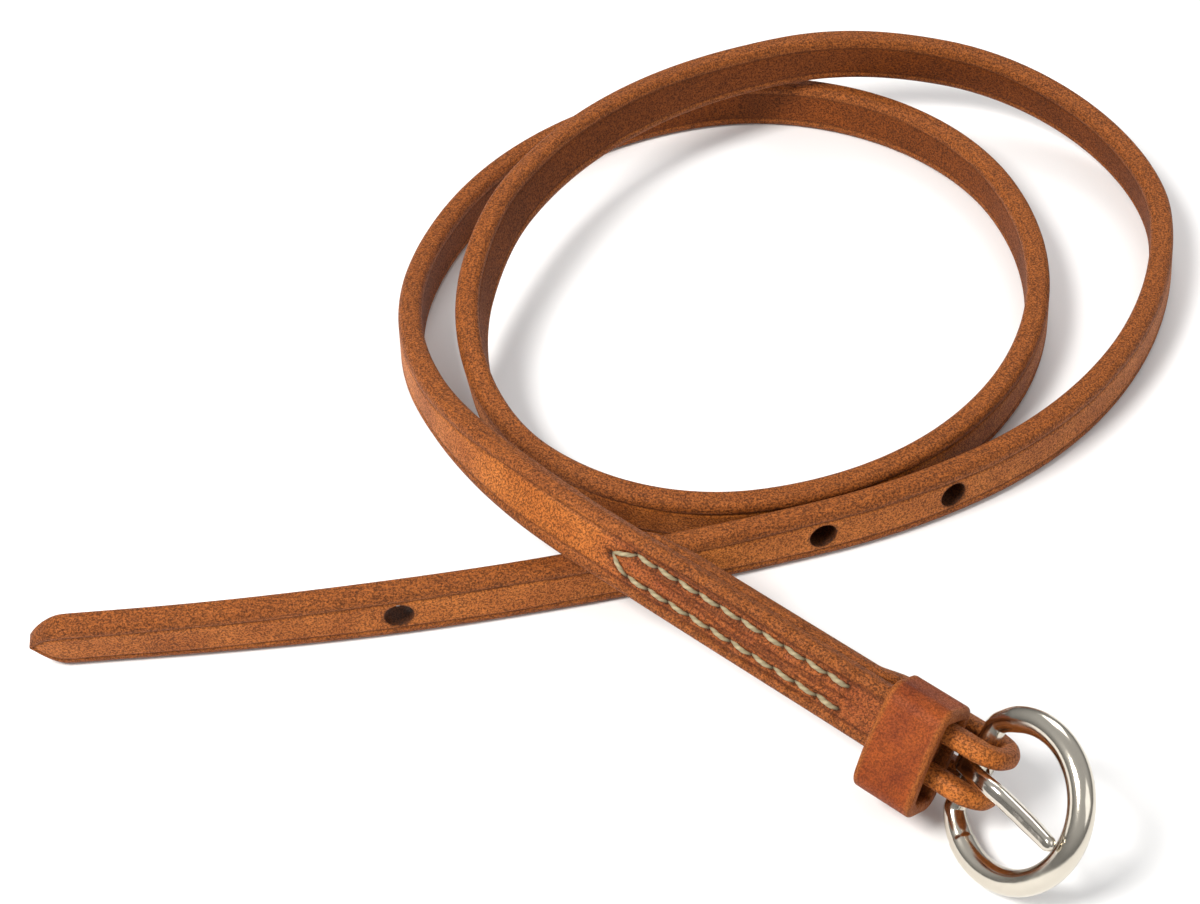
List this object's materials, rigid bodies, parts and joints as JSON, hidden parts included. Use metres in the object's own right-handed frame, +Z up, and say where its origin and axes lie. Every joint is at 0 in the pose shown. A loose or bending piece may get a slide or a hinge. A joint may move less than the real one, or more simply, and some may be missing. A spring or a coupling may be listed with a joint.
{
  "type": "leather buckle strap",
  "caption": "Narrow harness-leather rein strap coiled on its edge, with punched holes, an English point, a sewn-on nickelled ring buckle with tongue, and a leather keeper.",
  "frame": {"origin": "on the floor, under the middle of the whole object's box as it lies coiled", "axes": "+Z up from the floor the coil stands on, +X towards the side opposite the pointed tip, +Y away from the buckle, the longest way across the coil"},
  "size_m": [0.1908, 0.191, 0.0225],
  "materials": {
    "strap_leather": "russet harness leather, burnished edges",
    "keeper_leather": "redder russet leather",
    "thread": "waxed twisted linen thread",
    "nickel": "bright nickel plate",
    "staple_steel": "plain wire"
  },
  "bodies": {
    "strap_body": {"strap": "strap_leather", "thread_face": "thread", "thread_back": "thread"},
    "keeper_body": {"keeper_loop": "keeper_leather", "keeper_staple": "staple_steel"},
    "frame_body": {"buckle_frame": "nickel"},
    "tongue_body": {"buckle_tongue": "nickel"}
  },
  "joints": [
    {"name": "buckle_swing", "type": "hinge", "parent": "strap_body", "child": "frame_body", "pos_m": [0.04286, -0.07602, 0.0097], "axis": [0.3875, 0.4155, 0.8229], "range_deg": [-6, 84]},
    {"name": "tongue_swing", "type": "hinge", "parent": "frame_body", "child": "tongue_body", "pos_m": [0.04286, -0.07602, 0.0097], "axis": [0.3875, 0.4155, 0.8229], "range_deg": [-50, 0]},
    {"name": "keeper_slide", "type": "slide", "parent": "strap_body", "child": "keeper_body", "axis": [0.7815, -0.6216, -0.0541], "range_m": [-0.0008, 0.0004]}
  ]
}
